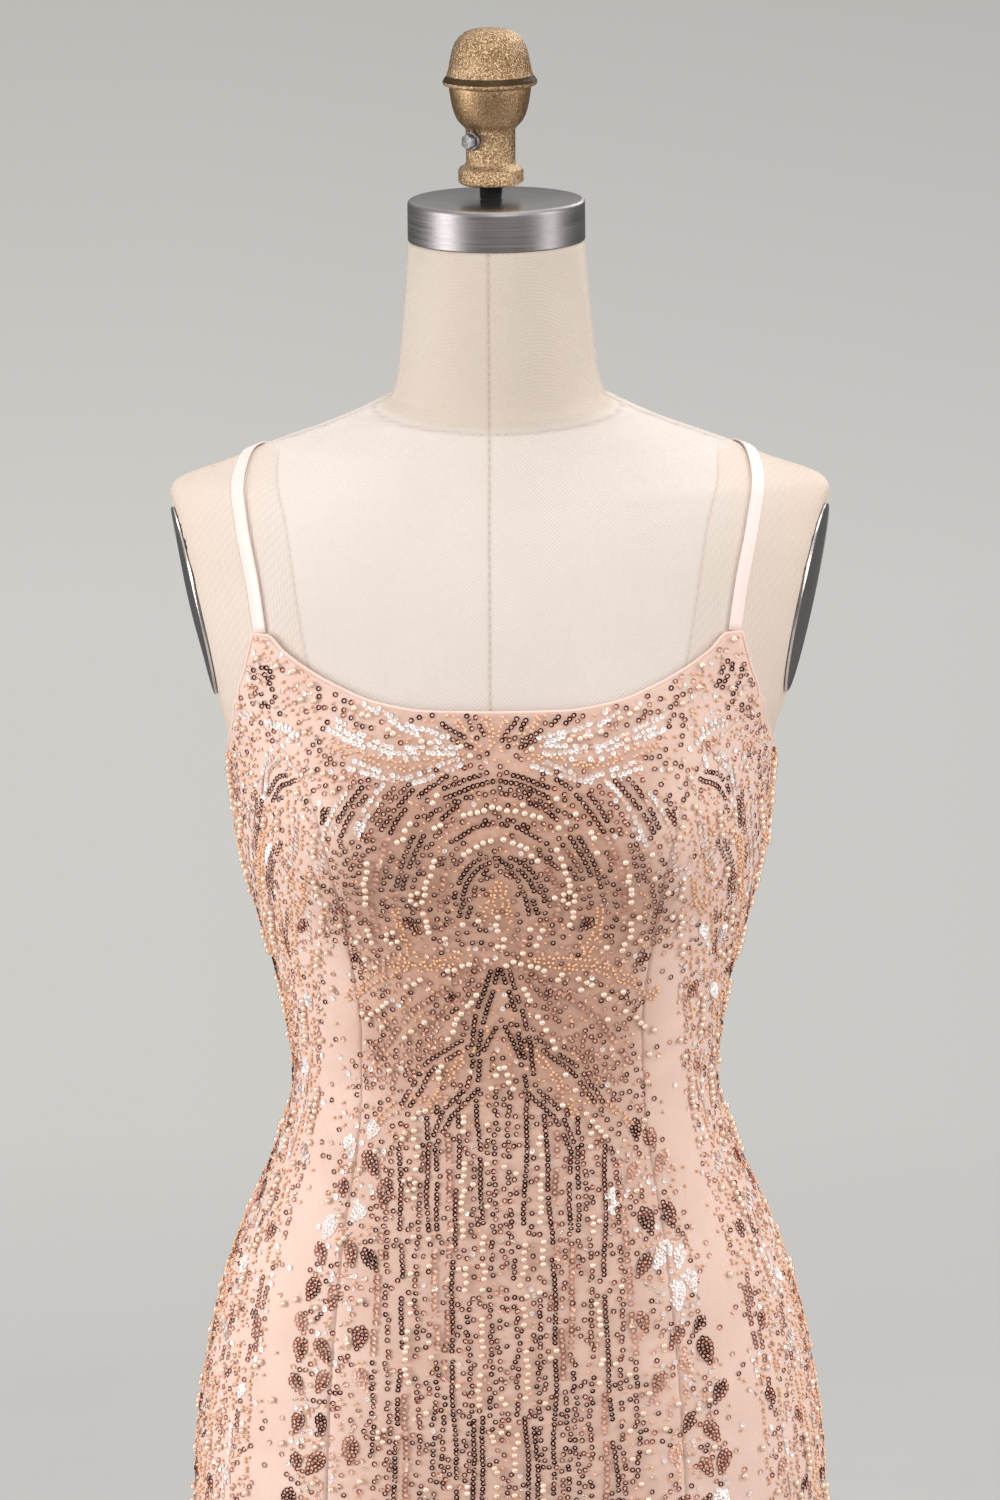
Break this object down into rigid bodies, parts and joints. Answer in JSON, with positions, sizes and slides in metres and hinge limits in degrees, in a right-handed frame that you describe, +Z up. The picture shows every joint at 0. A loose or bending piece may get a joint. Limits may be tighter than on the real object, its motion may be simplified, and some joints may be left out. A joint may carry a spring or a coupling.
{
  "type": "cocktail dress on a dress form",
  "caption": "Short fitted cocktail dress with thin straps, beaded net over blush lining, worn by a limbless canvas dress form on a round-based stand.",
  "frame": {"origin": "on the floor under the middle of the pole, at the centre of the base plate's underside", "axes": "+Z up; -Y is the wearer's front; +X is the wearer's left"},
  "size_m": [0.4, 0.4, 1.5965],
  "materials": {
    "dress_cloth": "blush lining under fine net with sewn sequins and beads",
    "strap_satin": "soft satin",
    "canvas": "natural canvas",
    "steel": "brushed",
    "dark_steel": "dark grey satin",
    "bronze": "rough cast",
    "black_metal": "black satin",
    "zip_metal": "enamelled to match the dress"
  },
  "bodies": {
    "dress_on_form": {"front_center": "dress_cloth", "side_front_left": "dress_cloth", "side_front_right": "dress_cloth", "side_back_left": "dress_cloth", "side_back_right": "dress_cloth", "back_left": "dress_cloth", "back_right": "dress_cloth", "strap_left": "strap_satin", "strap_right": "strap_satin", "zip_slider": "zip_metal", "torso_form": "canvas", "arm_plate_left": "dark_steel", "arm_plate_right": "dark_steel", "neck_cap": "steel", "neck_rod": "black_metal", "clamp_fitting": "bronze", "clamp_bolt": "steel", "finial_cap": "bronze", "form_flange": "dark_steel", "pole": "steel", "base_socket": "dark_steel", "base_plate": "dark_steel"},
    "zip_tab": {"zip_pull": "zip_metal"}
  },
  "joints": [
    {"name": "zip_tab_swing", "type": "hinge", "parent": "dress_on_form", "child": "zip_tab", "pos_m": [0, 0.10495, 1.15753], "axis": [1, 0, 0], "range_deg": [-10, 168]}
  ]
}
